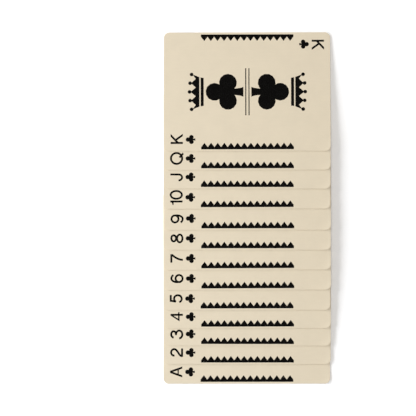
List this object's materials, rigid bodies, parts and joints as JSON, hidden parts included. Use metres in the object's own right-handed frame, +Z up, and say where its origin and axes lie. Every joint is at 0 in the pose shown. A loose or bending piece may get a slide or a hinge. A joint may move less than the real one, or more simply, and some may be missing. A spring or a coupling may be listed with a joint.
{
  "type": "playing cards",
  "caption": "Suit of clubs from a pack of playing cards, ace to king, face up in an overlapping spread that slides together into a squared pile.",
  "frame": {"origin": "on the table, under the middle of the whole spread", "axes": "X along the cards' long edges, +Y along the spread from the ace to the king, +Z up; the faces of the cards look up"},
  "size_m": [0.0885, 0.1859, 0.0028],
  "materials": {
    "card_board": "printed card, cream stock with black ink, linen-embossed and varnished to a soft sheen"
  },
  "bodies": {
    "ace_card": {"ace_of_clubs": "card_board"},
    "two_card": {"two_of_clubs": "card_board"},
    "three_card": {"three_of_clubs": "card_board"},
    "four_card": {"four_of_clubs": "card_board"},
    "five_card": {"five_of_clubs": "card_board"},
    "six_card": {"six_of_clubs": "card_board"},
    "seven_card": {"seven_of_clubs": "card_board"},
    "eight_card": {"eight_of_clubs": "card_board"},
    "nine_card": {"nine_of_clubs": "card_board"},
    "ten_card": {"ten_of_clubs": "card_board"},
    "jack_card": {"jack_of_clubs": "card_board"},
    "queen_card": {"queen_of_clubs": "card_board"},
    "king_card": {"king_of_clubs": "card_board"}
  },
  "joints": [
    {"name": "slide_two", "type": "slide", "parent": "ace_card", "child": "two_card", "axis": [-0.0294, -0.9995, 0.0128], "range_m": [0, 0.0102]},
    {"name": "slide_three", "type": "slide", "parent": "two_card", "child": "three_card", "axis": [-0.0051, -0.9998, 0.0212], "range_m": [0, 0.0098]},
    {"name": "slide_four", "type": "slide", "parent": "three_card", "child": "four_card", "axis": [0.0054, -0.9996, 0.0266], "range_m": [0, 0.0092]},
    {"name": "slide_five", "type": "slide", "parent": "four_card", "child": "five_card", "axis": [0.0312, -0.9991, 0.0301], "range_m": [0, 0.00961]},
    {"name": "slide_six", "type": "slide", "parent": "five_card", "child": "six_card", "axis": [-0.033, -0.9989, 0.0324], "range_m": [0, 0.01061]},
    {"name": "slide_seven", "type": "slide", "parent": "six_card", "child": "seven_card", "axis": [0.0047, -0.9994, 0.0339], "range_m": [0, 0.0106]},
    {"name": "slide_eight", "type": "slide", "parent": "seven_card", "child": "eight_card", "axis": [-0.0048, -0.9994, 0.0348], "range_m": [0, 0.0105]},
    {"name": "slide_nine", "type": "slide", "parent": "eight_card", "child": "nine_card", "axis": [-0.0095, -0.9993, 0.0355], "range_m": [0, 0.0105]},
    {"name": "slide_ten", "type": "slide", "parent": "nine_card", "child": "ten_card", "axis": [0.0268, -0.999, 0.0359], "range_m": [0, 0.0112]},
    {"name": "slide_jack", "type": "slide", "parent": "ten_card", "child": "jack_card", "axis": [-0.0141, -0.9992, 0.0361], "range_m": [0, 0.0106]},
    {"name": "slide_queen", "type": "slide", "parent": "jack_card", "child": "queen_card", "axis": [0, -0.9993, 0.0363], "range_m": [0, 0.0099]},
    {"name": "slide_king", "type": "slide", "parent": "queen_card", "child": "king_card", "axis": [-0.005, -0.9993, 0.0364], "range_m": [0, 0.01]}
  ]
}
